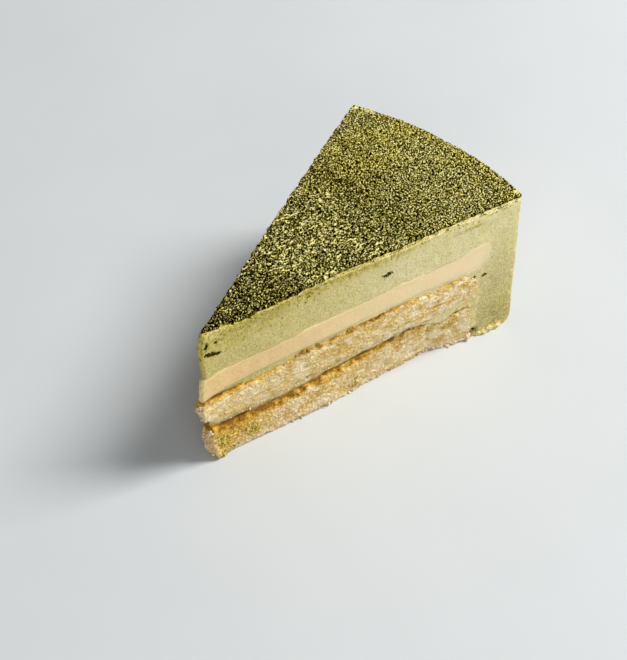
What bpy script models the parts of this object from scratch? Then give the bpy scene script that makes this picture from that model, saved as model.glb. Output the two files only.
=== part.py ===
"""One tenth of a round matcha mousse cake, 200 mm across and 48 mm tall.

From the plate up: a sponge, a thin film of mousse, a second sponge, another film of mousse, a disc of
set cream, and a deep layer of mousse with a dusting of matcha on top. The films, the deep layer and the
wall at the rim are one body of mousse, which was poured round the rest.

Metres, +Z up. X runs along the middle of the slice from its tip to its rim, and the origin is in the
middle of the slice, on the surface that it stands on. A point is placed by its radius, which is its
distance from the cake's centre, by its side, which runs from -1 on one cut face to 1 on the other, and
by its height.
"""

import math
from dataclasses import dataclass

import bmesh
import bpy
from mathutils import Vector, noise

MM = 0.001

# The whole slice
CAKE_RADIUS = 100 * MM
HALF_ANGLE = math.radians(36) / 2
MOUSSE_TOP = 47.5 * MM
TIP_X = -48.8 * MM
TIP_HALF_WIDTH = 0.9 * MM
NOSE_LENGTH = 12 * MM
GAP = 0.3 * MM

# The mousse's own edges
FOOT_ROUND = 4.5 * MM
FOOT_LUMP_SIZE = 2.4 * MM
FOOT_LUMP_DEPTH = 1.6 * MM
FOOT_LUMPS_FROM = 86 * MM
SHOULDER_ROUND = 1.0 * MM
TIP_BULGE = 1.0 * MM
TIP_BULGE_BOTTOM = 34 * MM
TIP_BULGE_RISE = 8 * MM

# How the layers wave
WAVE_SIZE = 15 * MM
WAVE_DEPTH = 0.8 * MM

# The crumb of a cut sponge
CRUMB_SIZE = 3.4 * MM
CRUMB_DEPTH = 1.6 * MM
EDGE_WEAR = 0.8 * MM
STANDS_PROUD = 0.4 * MM
RECESS_RADIUS = 64 * MM
RECESS_LENGTH = 24 * MM
CRUST_SLOPE = 0.7

# The dusting
DUSTING = 0.75 * MM
DUSTING_INSET = 0.8 * MM
DUSTING_START = 3.5 * MM
DUSTING_LEAST = 0.3 * MM
CLUMP_SIZE = 2.4 * MM
CLUMP_HEIGHT = 0.45 * MM
CLUMP_GRID = 1.3 * MM
DRIFT_SIZE = 9 * MM
DRIFT_DEPTH = 0.3 * MM
EDGE_WAVER_SIZE = 6 * MM
EDGE_WAVER_DEPTH = 0.7 * MM

# How far a cutter runs past what it cuts
OVERREACH = 5 * MM

FOOT_SEED, DRIFT_SEED, EDGE_SEED = 5, 6, 7


@dataclass
class Surface:
    """Its height by the rim, how far it sinks at the tip and from how far off, and its waves' seed."""

    height: float
    sag: float = 0
    sag_length: float = 1
    waves: int = 0


@dataclass
class Layer:
    """A layer ends inside the mousse at its reach, with a rounded end. nose_low and nose_high are how
    far its edges stand out at the tip, and recess is how far its cut faces draw back in their middle.
    Two surfaces with one seed lie on either side of a film of mousse, and wave together."""

    low: Surface
    high: Surface
    reach: float
    end_round: float
    nose_low: float
    nose_high: float
    recess: float
    seed: int


LOWER_SPONGE = Layer(
    low=Surface(0),
    high=Surface(13.4 * MM, sag=2.2 * MM, sag_length=60 * MM, waves=1),
    reach=85 * MM,
    end_round=2 * MM,
    nose_low=-1.6 * MM,
    nose_high=1.0 * MM,
    recess=1.6 * MM,
    seed=11,
)
UPPER_SPONGE = Layer(
    low=Surface(15.9 * MM, sag=2.8 * MM, sag_length=50 * MM, waves=1),
    high=Surface(26.6 * MM, sag=3.1 * MM, sag_length=60 * MM, waves=2),
    reach=86.5 * MM,
    end_round=3 * MM,
    nose_low=-0.2 * MM,
    nose_high=1.6 * MM,
    recess=0,
    seed=12,
)
CREAM_INSERT = Layer(
    low=Surface(27.8 * MM, sag=3.1 * MM, sag_length=30 * MM, waves=2),
    high=Surface(36.0 * MM, sag=4.2 * MM, sag_length=70 * MM, waves=3),
    reach=91 * MM,
    end_round=4 * MM,
    nose_low=0.6 * MM,
    nose_high=0.2 * MM,
    recess=0,
    seed=13,
)

# Cells along a block, across it from cut to cut, and up it
SPONGE_CELLS = (40, 4, 7)
INSERT_CELLS = (20, 4, 3)
SPACE_CELLS = (20, 4, 1)
MOUSSE_CELLS = (24, 8, 5)

COLOURS = {
    "matcha_dusting": (0.12, 0.12, 0.02),
    "matcha_mousse": (0.52, 0.47, 0.20),
    "cream_insert": (0.76, 0.58, 0.30),
    "sponge_crumb": (0.66, 0.50, 0.24),
    "sponge_crust": (0.42, 0.22, 0.05),
}


def lerp(start, end, share):
    return start + (end - start) * share


def ease(share):
    """A smooth step from 0 to 1 with level ends."""
    share = min(max(share, 0), 1)
    return share * share * (3 - 2 * share)


def spaced(start, end, cells):
    return [lerp(start, end, i / cells) for i in range(cells + 1)]


def uneven(point, size, depth, seed):
    """Random relief at a point, with bumps of about that size."""
    shifted = Vector(point) / size + Vector((7.3, 3.1, 5.7)) * seed
    return depth * noise.fractal(shifted, 1.0, 2.0, 3)


def corner_inset(from_edge, rounding):
    """How far a rounded corner lies inside the sharp one, at a distance from the edge."""
    short = max(0, rounding - from_edge)
    return rounding - math.sqrt(rounding**2 - short**2)


def plan(radius, side):
    """The x and y of a point. The tip is a narrow flat and not a knife edge."""
    along = max(radius, 0)
    wedge = along * math.sin(HALF_ANGLE)
    blunt = math.hypot(wedge, TIP_HALF_WIDTH) - wedge
    x = TIP_X + along * math.cos(side * HALF_ANGLE) + min(radius, 0)
    return x, along * math.sin(side * HALF_ANGLE) + side * blunt


def near_tip(radius):
    """1 at the tip, falling to 0 where the nose ends."""
    return 1 - ease(radius / NOSE_LENGTH)


def at_cut(side):
    """1 with its sign on a cut face, and next to nothing inside."""
    return math.copysign(abs(side) ** 8, side)


def material(name, roughness):
    made = bpy.data.materials.new(name)
    made.use_nodes = True
    shader = made.node_tree.nodes["Principled BSDF"]
    shader.inputs["Base Color"].default_value = (*COLOURS[name], 1)
    shader.inputs["Roughness"].default_value = roughness
    shader.inputs["Metallic"].default_value = 0
    return made


def add_object(name, shape, *materials):
    """An object of that name from a bmesh."""
    mesh = bpy.data.meshes.new(name)
    shape.to_mesh(mesh)
    shape.free()
    made = bpy.data.objects.new(name, mesh)
    bpy.context.scene.collection.objects.link(made)
    for finish in materials:
        mesh.materials.append(finish)
    return made


def smooth(piece):
    piece.data.shade_smooth()
    piece.data.set_sharp_from_angle(angle=math.radians(35))


def helper(name, shape):
    """An object that only cuts others."""
    made = add_object(name, shape)
    made.hide_render = True
    made.display_type = "WIRE"
    return made


def boolean(target, operation, other):
    modifier = target.modifiers.new(f"{operation.lower()} {other.name}", "BOOLEAN")
    modifier.operation = operation
    modifier.solver = "EXACT"
    modifier.object = other


def brick(stations, place):
    """A closed block of quads on three lists of stations, where place(a, b, c) gives the point."""
    shape = bmesh.new()
    corners = {}

    def corner(index):
        if index not in corners:
            values = [stations[axis][index[axis]] for axis in range(3)]
            corners[index] = shape.verts.new(place(*values))
        return corners[index]

    for fixed in range(3):
        first, second = (fixed + 1) % 3, (fixed + 2) % 3
        last = len(stations[fixed]) - 1
        for level in (0, last):
            for i in range(len(stations[first]) - 1):
                for j in range(len(stations[second]) - 1):
                    square = []
                    for step_i, step_j in ((0, 0), (1, 0), (1, 1), (0, 1)):
                        index = {fixed: level, first: i + step_i, second: j + step_j}
                        square.append(corner((index[0], index[1], index[2])))
                    shape.faces.new(square if level else square[::-1])
    shape.normal_update()
    return shape


def surface_height(surface, radius, xy):
    height = surface.height - surface.sag * (1 - ease(radius / surface.sag_length))
    if surface.waves:
        height += uneven((*xy, 0), WAVE_SIZE, WAVE_DEPTH, surface.waves)
    return height


def layer_point(layer, radius, side, share, grow=0):
    """A point of a layer, with share 0 on its lower surface and 1 on its upper one, which lie farther
    out by grow. Beyond the cut faces the surfaces run on level."""
    nose = lerp(layer.nose_low, layer.nose_high, share)
    inside = min(max(side, -1), 1)
    x, y = plan(radius - nose * near_tip(radius), inside)
    low = surface_height(layer.low, radius, (x, y))
    high = surface_height(layer.high, radius, (x, y))
    into_end = max(0, radius - layer.reach + layer.end_round) / layer.end_round
    thin = max(0.3, math.sqrt(max(0, 1 - into_end**2)))
    z = lerp(low, high, 0.5) + (2 * share - 1) * ((high - low) / 2 * thin + grow)
    return Vector((x, y + OVERREACH * (side - inside), z))


def radius_stations(layer, cells):
    """Even stations from the tip, and closer ones round the layer's end."""
    turns = (math.sin(math.pi / 2 * share) for share in spaced(0, 1, 3)[1:])
    straight = spaced(0, layer.reach - layer.end_round, cells)
    return straight + [straight[-1] + layer.end_round * turn for turn in turns]


def layer_block(layer, cells, crumb, proud, wear):
    """A layer from one cut face to the other. The relief of a cut face has the depth crumb, its edges
    are worn, and as a whole it stands proud of the mousse."""

    def place(radius, side, share):
        point = layer_point(layer, radius, side, share)
        from_middle = (radius - RECESS_RADIUS) / RECESS_LENGTH
        drawn_back = layer.recess * math.exp(-(from_middle**2)) * (1.4 - 0.8 * share)
        relief = uneven(point, CRUMB_SIZE, crumb, layer.seed)
        out = proud + relief - drawn_back - wear * (2 * share - 1) ** 4
        point.y += at_cut(side) * out * (1 - 0.6 * near_tip(radius))
        point.x -= (relief + proud * math.sin(math.pi * share)) * (radius == 0)
        return point

    stations = radius_stations(layer, cells[0]), spaced(-1, 1, cells[1]), spaced(0, 1, cells[2])
    return brick(stations, place)


def layer_space(layer):
    """The space of a layer in the mousse, with the gap all round, running out at the tip and cuts."""

    def place(radius, side, share):
        in_end = radius > layer.reach - layer.end_round
        point = layer_point(layer, radius, side, share, GAP)
        if share == 0 and layer.low.height == 0:
            point.z = -OVERREACH
        point.x += GAP * in_end
        return point

    radii = [-OVERREACH, *radius_stations(layer, SPACE_CELLS[0])]
    sides = [-2, -1.1, *spaced(-1, 1, SPACE_CELLS[1])[1:-1], 1.1, 2]
    return brick((radii, sides, spaced(0, 1, SPACE_CELLS[2])), place)


def mousse_block():
    """The mousse without the spaces in it: rounded at its foot and shoulder, bulging at its tip."""
    foot = [FOOT_ROUND * share for share in (0, 0.25, 0.55)]
    shoulder = [MOUSSE_TOP - SHOULDER_ROUND * share for share in (0.4, 0)]
    along, across, up = MOUSSE_CELLS
    heights = foot + spaced(FOOT_ROUND, MOUSSE_TOP - SHOULDER_ROUND, up) + shoulder

    def place(share, side, height):
        inset = corner_inset(MOUSSE_TOP - height, SHOULDER_ROUND)
        rim = CAKE_RADIUS - inset - corner_inset(height, FOOT_ROUND)
        radius = rim * share
        nose = TIP_BULGE * ease((height - TIP_BULGE_BOTTOM) / TIP_BULGE_RISE) - inset
        radius -= nose * near_tip(radius)
        point = Vector((*plan(radius, side), height))
        point.y *= 1 - min(0.5, inset / plan(radius, 1)[1])
        at_foot = (radius > FOOT_LUMPS_FROM) * (1 - ease(height / FOOT_ROUND))
        lump = abs(uneven(point, FOOT_LUMP_SIZE, FOOT_LUMP_DEPTH, FOOT_SEED))
        point.y += at_cut(side) * at_foot * lump
        return point

    return brick((spaced(0, 1, along), spaced(-1, 1, across), heights), place)


def dusting_block():
    """A sheet of clumps that is larger than the slice."""
    floor = MOUSSE_TOP + GAP
    reach_y = CAKE_RADIUS * math.sin(HALF_ANGLE) + CLUMP_GRID
    columns = round(CAKE_RADIUS / CLUMP_GRID) + 1
    rows = round(2 * reach_y / CLUMP_GRID)

    def place(x, y, share):
        to_grain = noise.voronoi((x / CLUMP_SIZE, y / CLUMP_SIZE, 0))[0][0]
        clump = CLUMP_HEIGHT * (1 - 2 * to_grain**2)
        drift = uneven((x, y, 0), DRIFT_SIZE, DRIFT_DEPTH, DRIFT_SEED)
        return x, y, floor + share * max(DUSTING_LEAST, DUSTING + clump + drift)

    xs = spaced(TIP_X, TIP_X + CAKE_RADIUS + CLUMP_GRID, columns)
    return brick((xs, spaced(-reach_y, reach_y, rows), (0, 1)), place)


def dusting_outline():
    """A prism over the dusted part of the top, with wavering edges along the cuts."""
    end = CAKE_RADIUS - DUSTING_INSET

    def edge(side):
        for radius in spaced(DUSTING_START, end, 34):
            x, y = plan(radius, side)
            waver = uneven((x, y, 0), EDGE_WAVER_SIZE, EDGE_WAVER_DEPTH, EDGE_SEED)
            yield x, y - side * min(DUSTING_INSET + waver, 0.6 * abs(y))

    arc = [plan(end, side) for side in spaced(-1, 1, 16)[1:-1]]
    outline = [*edge(-1), *arc, *reversed(list(edge(1)))]
    shape = bmesh.new()
    floor = shape.faces.new([shape.verts.new((*xy, MOUSSE_TOP - OVERREACH)) for xy in outline])
    raised = bmesh.ops.extrude_face_region(shape, geom=[floor])["geom"]
    tops = [part for part in raised if isinstance(part, bmesh.types.BMVert)]
    bmesh.ops.translate(shape, verts=tops, vec=(0, 0, 2 * OVERREACH))
    bmesh.ops.recalc_face_normals(shape, faces=shape.faces)
    return shape


def make_layers():
    """The two sponges and the cream."""
    finishes = material("sponge_crumb", 0.95), material("sponge_crust", 0.85)
    for name, layer in (("lower_sponge", LOWER_SPONGE), ("upper_sponge", UPPER_SPONGE)):
        block = layer_block(layer, SPONGE_CELLS, CRUMB_DEPTH, STANDS_PROUD, EDGE_WEAR)
        for face in block.faces:
            face.material_index = int(face.normal.z > CRUST_SLOPE)
        add_object(name, block, *finishes)
    insert = layer_block(CREAM_INSERT, INSERT_CELLS, 0, 0, 0)
    smooth(add_object("cream_insert", insert, material("cream_insert", 0.45)))


def make_mousse():
    mousse = add_object("matcha_mousse", mousse_block(), material("matcha_mousse", 0.6))
    smooth(mousse)
    for name, layer in (("lower", LOWER_SPONGE), ("upper", UPPER_SPONGE), ("insert", CREAM_INSERT)):
        boolean(mousse, "DIFFERENCE", helper(f"{name}_space", layer_space(layer)))


def make_dusting():
    dusting = add_object("matcha_dusting", dusting_block(), material("matcha_dusting", 1.0))
    boolean(dusting, "INTERSECT", helper("dusting_outline", dusting_outline()))
    flatten = dusting.modifiers.new("flatten underside", "DECIMATE")
    flatten.decimate_type = "DISSOLVE"
    flatten.angle_limit = math.radians(0.5)


def main():
    for old in list(bpy.data.objects):
        bpy.data.objects.remove(old)
    make_layers()
    make_mousse()
    make_dusting()


main()
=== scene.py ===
"""The looks of a slice of matcha mousse cake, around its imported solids.

X runs along the middle of the slice from its tip to its rim. A point of the cake is placed by its
radius, which is its distance from the cake's centre, by its side, which runs from -1 on the cut face that
the camera sees to 1 on the far one, and by its height. Shapes and sizes are worked out in millimetres,
and mesh_piece and Shader turn them into metres.
"""

import math
from dataclasses import dataclass

import bmesh
import bpy
import numpy as np
from mathutils import Matrix, Vector, noise


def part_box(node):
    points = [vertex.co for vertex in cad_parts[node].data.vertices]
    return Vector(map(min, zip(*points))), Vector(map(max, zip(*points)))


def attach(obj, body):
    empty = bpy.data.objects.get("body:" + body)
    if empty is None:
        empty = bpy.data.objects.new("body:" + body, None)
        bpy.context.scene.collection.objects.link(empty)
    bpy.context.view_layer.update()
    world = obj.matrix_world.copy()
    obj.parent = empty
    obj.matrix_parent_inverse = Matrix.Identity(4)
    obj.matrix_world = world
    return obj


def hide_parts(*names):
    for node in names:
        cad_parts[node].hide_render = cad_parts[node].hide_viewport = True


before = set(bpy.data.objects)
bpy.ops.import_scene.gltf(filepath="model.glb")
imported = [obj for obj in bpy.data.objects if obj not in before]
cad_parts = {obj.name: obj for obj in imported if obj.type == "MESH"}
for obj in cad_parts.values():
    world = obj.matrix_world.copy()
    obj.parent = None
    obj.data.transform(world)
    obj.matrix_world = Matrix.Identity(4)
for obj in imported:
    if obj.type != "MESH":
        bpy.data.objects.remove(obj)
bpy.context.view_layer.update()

MM = 0.001
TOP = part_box("matcha_mousse")[1].z / MM
RIM_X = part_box("matcha_mousse")[1].x / MM
CAKE_RADIUS = 100
TIP_X = RIM_X - CAKE_RADIUS
HALF_ANGLE = math.radians(36) / 2
NEAR_FACE, FAR_FACE = -1, 1
NOSE_LENGTH = 12
TIP_HALF_WIDTH = 0.9
TIP_ROUND = 0.95  # the size of the tip's round corners, as a share of its half width
AT_CUT = 9  # the side to this power is 1 on a cut face and next to nothing inside
SEED_SHIFT = np.array((7.3, 3.1, 5.7))  # how far one seed moves the noise
TO_UNIT = 1.6  # brings Blender's noise to about -1 to 1
# How far apart the points of each block lie along the cut
MOUSSE_STEP = 0.42
SPONGE_STEP = 0.21
INSERT_STEP = 0.7


@dataclass
class Layer:
    """A layer of the cut. Each table is a line through points."""

    low: tuple  # the height of its lower surface at radii
    high: tuple  # the height of its upper surface at radii
    end: tuple  # its outer radius at shares of its thickness
    nose: tuple  # how far its tip stands out at heights
    tip_half_width: float = TIP_HALF_WIDTH
    coarseness: float = 0.0  # how far its crumb stands out

    def share(self, radius, height):
        low = curve(radius, self.low)
        return (height - low) / (curve(radius, self.high) - low)

    def inside(self, radius, height):
        """How deep points of the cut lie inside the layer. It is below 0 outside it."""
        above = height - curve(radius, self.low)
        below = curve(radius, self.high) - height
        return np.minimum.reduce((above, below, curve(self.share(radius, height), self.end) - radius))


INSERT = Layer(
    low=(
        (0, 23.4), (5, 24), (13, 24.9), (24, 25.6), (37, 26.3),
        (50, 26.8), (62, 27.2), (80, 27.5), (91, 28.5),
    ),
    high=(
        (0, 31), (5, 31.6), (13, 32.2), (25, 32.6), (37, 33.3),
        (50, 34.1), (62, 34.8), (76, 35.2), (90, 36.9),
    ),
    end=((0, 87.8), (0.1, 89.2), (0.3, 90), (0.6, 90.4), (0.85, 90.4), (1, 89.8)),
    nose=((24, 2.1), (29.6, 1.6), (32, 1)),
)
UPPER_SPONGE = Layer(
    low=(
        (0, 15.2), (3, 12.8), (6, 12.1), (20, 12.1), (31, 13.5), (43, 14.3),
        (50, 15.1), (62, 15.7), (70, 14.9), (76, 16.4), (87, 17.4),
    ),
    high=(
        (0, 23.4), (6, 23.3), (13, 22.7), (22, 23), (29, 24.5), (43, 25.2),
        (50, 26.3), (62, 26.8), (71, 26.2), (80, 27.1), (87, 25.4),
    ),
    end=((0, 85), (0.2, 86.2), (0.75, 86.4), (1, 84.2)),
    nose=((13.3, 0.7), (16, 1.6), (18.5, 2.5), (21, 3.1), (24, 2.2)),
    tip_half_width=1.1,
    coarseness=0.15,
)
LOWER_SPONGE = Layer(
    low=((0, 0), (85, 0)),
    high=(
        (0, 11.6), (5, 10.4), (20, 10.6), (29, 11.4), (38, 12.2), (50, 13), (64, 13.8), (70, 13.4),
        (76, 12.1), (80, 14.2), (85, 15),
    ),
    end=((0, 85), (0.3, 85.4), (0.8, 85.2), (1, 84)),
    nose=((0, -0.4), (2, 0.4), (5, 0.9), (8, 1.1), (12, 0.3)),
    tip_half_width=1.8,
    coarseness=0.26,
)
MOUSSE_NOSE = (
    (0, -1.2), (13, -0.6), (24, 0), (31, 0.2), (34, 0.4), (38, 0.9),
    (43, 0.9), (45.2, 0.5), (46.8, -0.1), (47.5, -0.5),
)
# How far the top sags at radii
SAG = (0, 0.3), (6, 0.5), (12, 0.7), (20, 0.5), (34, 0)
# How far the lower sponge's cut faces are drawn back at radii: 1.2 times this at its foot, 0.7 at its top
DRAWN_BACK = (
    (0, -0.2), (5, -0.6), (12, -0.8), (36, -0.7), (45, 0.2),
    (50, 0.8), (60, 1.2), (72, 2.2), (80, 0.8), (85, 0.4),
)


# Lines, masks and relief

def ease(share):
    """A smooth step from 0 to 1 with level ends."""
    share = np.clip(share, 0, 1)
    return share * share * (3 - 2 * share)


def between(value, start, end, soft):
    """1 between two values, falling to 0 over the distance soft outside them."""
    return ease((value - start) / soft + 1) * ease((end - value) / soft + 1)


def bell(value, middle, width):
    return np.exp(-(((value - middle) / width) ** 2))


def curve(value, table):
    """A smooth line through a table's points."""
    xs, ys = np.array(table, float).T
    place = np.interp(value, xs, np.arange(len(xs)))
    first = np.minimum(place.astype(int), len(xs) - 2)
    share = place - first
    return ys[first] + (ys[first + 1] - ys[first]) * (0.5 * share + 0.5 * ease(share))


def ripple(points, size, seed, octaves=1):
    """Random relief of about -1 to 1, with bumps of about that size. A size may differ by axis."""
    scaled = points / size + SEED_SHIFT * seed
    values = (noise.fractal(place, 1, 2, octaves) for place in scaled.tolist())
    return np.fromiter(values, float, len(scaled)) * TO_UNIT


def cells(points, size, seed):
    """For random cells of that size, how many sizes each point lies from its cell's middle."""
    scaled = points / size + SEED_SHIFT * seed
    return np.fromiter((noise.voronoi(place)[0][0] for place in scaled.tolist()), float, len(scaled))


def grains(points, size, seed):
    """For level grains about a size apart, how many sizes each point lies from the nearest one's middle."""
    place = (points[:, :2] - (TIP_X, -CAKE_RADIUS / 2)) / size
    cell = place.astype(int)
    strewn = np.random.default_rng(seed).uniform(0.1, 0.9, (*cell.max(0) + 2, 2))
    nearest = np.full(len(points), np.inf)
    for step in np.ndindex(3, 3):
        around = cell + step - 1
        nearest = np.minimum(nearest, np.hypot(*(around + strewn[tuple(around.T)] - place).T))
    return nearest


def marks(face, places):
    """Soft marks on a cut face. Each has its place along and up, half length, half height and strength."""
    total = np.zeros(len(face))
    for along, up, half_length, half_height, strength in places:
        total += strength * bell(face[:, 0], along, half_length) * bell(face[:, 2], up, half_height)
    return total


def near_tip(radius, length=NOSE_LENGTH):
    return 1 - ease(radius / length)


def face_place(points, side):
    """Distances along a cut face from the tip, across it and up."""
    turn = side * HALF_ANGLE
    from_tip = points[:, 0] - TIP_X
    along = from_tip * math.cos(turn) + points[:, 1] * math.sin(turn)
    across = points[:, 1] * math.cos(turn) - from_tip * math.sin(turn)
    return np.stack((along, across, points[:, 2]), 1)


# Shapes

def rounded(first, second, size):
    """Draws a square corner to an arc. It takes and gives the distances of points from its two faces."""
    u = np.clip(1 - first / size, 0, 1)
    v = np.clip(1 - second / size, 0, 1)
    return (
        first + size * u * (1 - np.sqrt(1 - v * v / 2)),
        second + size * v * (1 - np.sqrt(1 - u * u / 2)),
    )


def plan(radius, side, half_width=TIP_HALF_WIDTH):
    """The x and y of points. The tip is blunt, with that half width and round corners."""
    wedge = radius * math.sin(HALF_ANGLE)
    blunt = np.hypot(wedge, half_width) - wedge
    inward, from_face = rounded(radius, (1 - np.abs(side)) * half_width, TIP_ROUND * half_width)
    side = np.sign(side) * (1 - from_face / half_width)
    return TIP_X + inward * np.cos(side * HALF_ANGLE), inward * np.sin(side * HALF_ANGLE) + side * blunt


def push_out(points, side, distance):
    """Moves points of the cut faces out of them by a distance."""
    share = np.sign(side) * np.abs(side) ** AT_CUT
    points[:, 0] -= distance * np.abs(share) * math.sin(HALF_ANGLE)
    points[:, 1] += distance * share * math.cos(HALF_ANGLE)


def block(*stations):
    """The surface of a block on three lists of stations: each point's stations, and quads that face out."""
    counts = [len(values) for values in stations]
    inside = np.zeros(counts, bool)
    inside[1:-1, 1:-1, 1:-1] = True
    where = np.argwhere(~inside)
    number = np.full(counts, -1)
    number[tuple(where.T)] = np.arange(len(where))
    quads = []
    for axis in range(3):
        for level in (0, counts[axis] - 1):
            side = number.take(level, axis)
            corners = side[:-1, :-1], side[1:, :-1], side[1:, 1:], side[:-1, 1:]
            square = np.stack(corners, -1).reshape(-1, 4)
            outward = (level > 0) != (axis == 1)
            quads.append(square if outward else square[:, ::-1])
    at_points = (values[where[:, axis]] for axis, values in enumerate(stations))
    return *at_points, np.concatenate(quads)


def spaced(start, end, step):
    return np.linspace(start, end, max(2, round((end - start) / step) + 1))


def closer_at_ends(count):
    """Stations from -1 to 1 that lie closer together towards both ends."""
    return np.sin(np.linspace(-math.pi / 2, math.pi / 2, count))


def points_and_faces(mesh):
    """The points and faces of a bmesh, which it frees."""
    mesh.verts.index_update()
    points = np.array([vert.co for vert in mesh.verts])
    faces = [[vert.index for vert in face.verts] for face in mesh.faces]
    mesh.free()
    return points, faces


def add_object(name, data):
    made = bpy.data.objects.new(name, data)
    bpy.context.scene.collection.objects.link(made)
    return made


def mesh_piece(name, points, faces, material, slot, *replaced, **masks):
    """A smooth mesh that rides on the slice. Its masks are one value or a value for each point."""
    mesh = bpy.data.meshes.new(name)
    mesh.from_pydata(np.asarray(points) * MM, [], faces)
    for mask, values in masks.items():
        values = np.full(len(points), values, np.float32)
        mesh.attributes.new(mask, "FLOAT", "POINT").data.foreach_set("value", values)
    mesh.materials.append(material)
    mesh.shade_smooth()
    piece = add_object(name, mesh)
    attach(piece, "root")
    if replaced:
        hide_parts(*replaced)


# Materials

class Shader:
    """A material under construction: each method adds a node and gives its output."""

    def __init__(self, name, roughness, **fixed):
        self.material = bpy.data.materials.new(name)
        self.material.use_nodes = True
        self.tree = self.material.node_tree
        self.surface = self.tree.nodes["Principled BSDF"]
        self.surface.inputs["Roughness"].default_value = roughness
        for socket, value in fixed.items():
            self.surface.inputs[socket.replace("_", " ")].default_value = value
        self.place = self.node("ShaderNodeTexCoord").outputs["Object"]

    def node(self, kind, inputs=None, **settings):
        """A node with its inputs, by name or by number, and its settings."""
        made = self.tree.nodes.new(kind)
        for name, value in settings.items():
            setattr(made, name, value)
        for socket, value in (inputs or {}).items():
            self.feed(made.inputs[socket], value)
        return made

    def feed(self, socket, value):
        if isinstance(value, bpy.types.NodeSocket):
            self.tree.links.new(value, socket)
        elif value is not None:
            socket.default_value = value

    def mask(self, name):
        return self.node("ShaderNodeAttribute", attribute_name=name).outputs["Fac"]

    def stretched(self, scale):
        return self.node("ShaderNodeMapping", {"Vector": self.place, "Scale": scale}).outputs["Vector"]

    def noise(self, size, detail=3.0, roughness=0.55, place=None):
        inputs = {"Vector": place or self.place, "Scale": 1 / (size * MM)}
        inputs.update({"Detail": detail, "Roughness": roughness})
        return self.node("ShaderNodeTexNoise", inputs).outputs["Fac"]

    def cells(self, size):
        inputs = {"Vector": self.place, "Scale": 1 / (size * MM)}
        return self.node("ShaderNodeTexVoronoi", inputs).outputs["Distance"]

    def along(self, axis, start, end):
        """0 to 1 from one place on an axis to another."""
        split = self.node("ShaderNodeSeparateXYZ", {0: self.place})
        return self.ranged(split.outputs[axis], start * MM, end * MM)

    def ranged(self, value, start, end, low=0.0, high=1.0):
        inputs = dict(enumerate((value, start, end, low, high)))
        made = self.node("ShaderNodeMapRange", inputs, interpolation_type="SMOOTHSTEP")
        return made.outputs["Result"]

    def math(self, operation, first, second):
        return self.node("ShaderNodeMath", {0: first, 1: second}, operation=operation).outputs[0]

    def ramp(self, value, *stops):
        made = self.node("ShaderNodeValToRGB", {0: value})
        elements = made.color_ramp.elements
        while len(elements) < len(stops):
            elements.new(1)
        for element, (position, colour) in zip(elements, stops):
            element.position = position
            element.color = (*linear(colour), 1)
        return made.outputs["Color"]

    def mix(self, share, first, second, blend="MIX"):
        inputs = {"Factor": share}
        for socket, colour in ((6, first), (7, second)):
            inputs[socket] = (*linear(colour), 1) if isinstance(colour, tuple) else colour
        return self.node("ShaderNodeMix", inputs, data_type="RGBA", blend_type=blend).outputs[2]

    def finish(self, colour, height, depth):
        """Sets the colour, and the relief from a height of 0 to 1 over a depth."""
        self.feed(self.surface.inputs["Base Color"], colour)
        bump = self.node("ShaderNodeBump", {"Strength": 1, "Distance": depth * MM, "Height": height})
        self.feed(self.surface.inputs["Normal"], bump.outputs["Normal"])
        return self.material


def linear(colour):
    """A colour picked on screen, as the renderer wants it."""
    return tuple((value / 255) ** 2.2 for value in colour)


def mousse_material():
    look = Shader("mousse_look", 0.62, Subsurface_Weight=0.05, Subsurface_Scale=MM)
    body = look.ramp(
        look.along("X", TIP_X, RIM_X), (0, (188, 169, 82)), (0.2, (198, 181, 102)),
        (0.43, (213, 198, 134)), (0.67, (230, 218, 169)), (1, (227, 214, 160)),
    )
    # Painted shade: near the rim the mousse grows darker and yellower towards its foot.
    low = look.math("MULTIPLY", look.along("Z", 44, 6), look.along("X", TIP_X + 70, TIP_X + 90))
    body = look.mix(low, body, (150, 132, 52))
    body = look.mix(look.ranged(look.noise(4, 4, 0.6), 0.4, 0.65, 0, 0.5), body, (204, 192, 116))
    grain = look.noise(0.5, 4, 0.9)
    body = look.mix(look.ranged(grain, 0.42, 0.62, 0, 0.55), body, (234, 225, 176))
    body = look.mix(look.ranged(grain, 0.52, 0.36, 0, 0.6), body, (168, 153, 76))
    # The pores are dents in the relief at the end, painted darker as shade in them.
    pores = look.ranged(look.cells(1.5), 0.17, 0.08)
    body = look.mix(look.math("MULTIPLY", pores, 0.4), body, (144, 130, 58))
    film = look.ramp(
        look.noise(1.2, 4, 0.7), (0.4, (212, 186, 116)), (0.5, (232, 210, 142)), (0.6, (242, 228, 170))
    )
    body = look.mix(look.mask("film"), body, film)
    # A dark line just above the lower sponge: partly its scorched top, partly painted shade in the gap
    # there.
    body = look.mix(look.mask("seam"), body, (108, 76, 16))
    speckle = look.noise(0.5, 4, 0.75)
    spread = look.math("ADD", look.mask("smear"), look.ranged(speckle, 0.36, 0.64, -0.45, 0.45))
    powdery = look.ramp(speckle, (0.4, (104, 92, 14)), (0.5, (180, 163, 60)), (0.62, (216, 200, 108)))
    body = look.mix(look.ranged(spread, 0.35, 0.75, 0, 0.9), body, powdery)
    body = look.mix(look.mask("pale"), body, (238, 226, 156))
    body = look.mix(look.mask("cream"), body, cream_colour(look)[0])
    blotch = look.math("ADD", look.mask("olive"), look.ranged(speckle, 0.36, 0.64, 0.3, -0.3))
    blotch = look.ranged(blotch, 0.15, 0.7)
    body = look.mix(blotch, body, look.ramp(speckle, (0.4, (14, 9, 0)), (0.62, (84, 70, 12))))
    look.feed(look.surface.inputs["Specular IOR Level"], look.ranged(blotch, 0, 1, 0.35, 0))
    relief = look.math("ADD", grain, look.math("MULTIPLY", pores, -0.6))
    return look.finish(body, relief, 0.2)


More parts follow.
